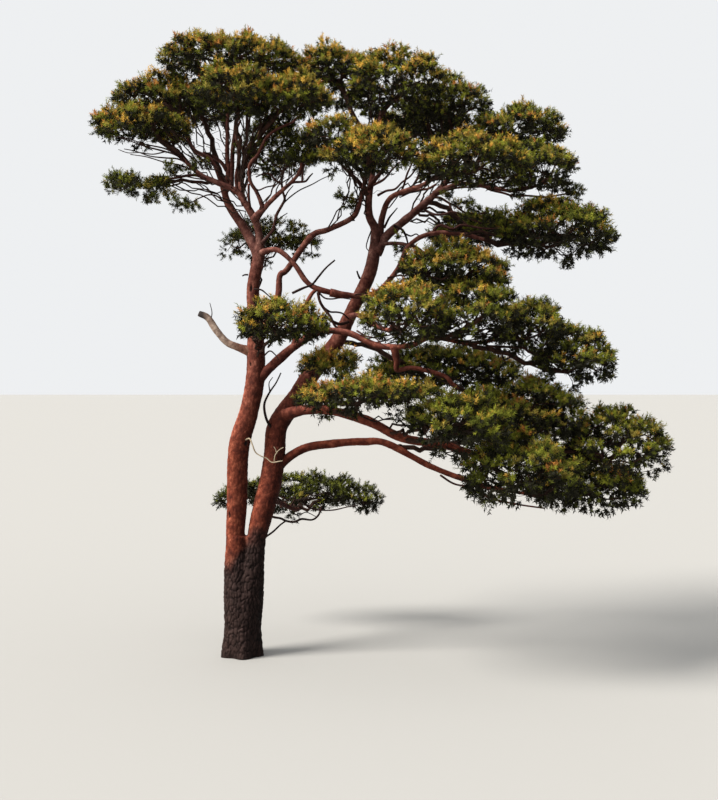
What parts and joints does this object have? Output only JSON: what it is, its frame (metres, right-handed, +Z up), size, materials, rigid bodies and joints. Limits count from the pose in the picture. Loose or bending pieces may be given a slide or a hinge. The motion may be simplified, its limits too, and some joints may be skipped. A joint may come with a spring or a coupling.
{
  "type": "scots pine tree",
  "caption": "Open-grown scots pine with two orange stems from one short trunk and a broad, one-sided crown of flat needle pads.",
  "frame": {"origin": "the middle of the flat cut under the trunk, at ground level", "axes": "+Z up, +X towards the side that the crown reaches out to, -Y towards the viewer of the picture"},
  "size_m": [8.884, 5.7311, 10.0879],
  "materials": {
    "lower_bark": "rough dark grey-brown plated bark",
    "upper_bark": "flaky orange-red bark",
    "dead_wood": "bleached bare dead wood",
    "needles": "dull olive-green needles with gold and rust tips"
  },
  "bodies": {
    "root": {"trunk": "lower_bark", "left_stem": "upper_bark", "right_stem": "upper_bark", "left_leader": "upper_bark", "right_leader": "upper_bark", "twin_limb": "upper_bark", "middle_limb": "upper_bark", "right_limb": "upper_bark", "dead_snag": "dead_wood", "long_bough": "upper_bark", "red_bough": "upper_bark", "lowest_bough": "upper_bark", "low_back_bough": "upper_bark", "rising_bough": "upper_bark", "crossing_bough": "upper_bark", "right_bough": "upper_bark", "prop_limb": "upper_bark", "kinked_bough": "upper_bark", "dropping_bough": "upper_bark", "west_bough": "upper_bark", "inner_bough": "upper_bark", "hooked_bough": "upper_bark", "east_bough": "upper_bark", "crown_top": "needles", "crown_west": "needles", "west_pad": "needles", "front_pad": "needles", "front_east_pad": "needles", "inner_mass": "needles", "hooked_pad": "needles", "dark_mass": "needles", "low_west_mass": "needles", "back_west_pad": "needles", "upper_back_pad": "needles", "upper_pad": "needles", "upper_east_pad": "needles", "east_top_pad": "needles", "middle_west_pad": "needles", "middle_pad": "needles", "middle_east_pad": "needles", "east_pad": "needles", "right_pad": "needles", "shelf_pad": "needles", "centre_pad": "needles", "centre_east_pad": "needles", "slope_pad": "needles", "slope_foot_pad": "needles", "near_pad": "needles", "small_pad": "needles", "dark_back_pad": "needles", "low_left_pad": "needles", "low_front_pad": "needles", "low_middle_pad": "needles", "low_east_pad": "needles", "low_skirt_pad": "needles", "lowest_pad": "needles", "low_back_pad": "needles", "back_top_pad": "needles", "back_east_pad": "needles", "back_low_pad": "needles"}
  },
  "joints": []
}
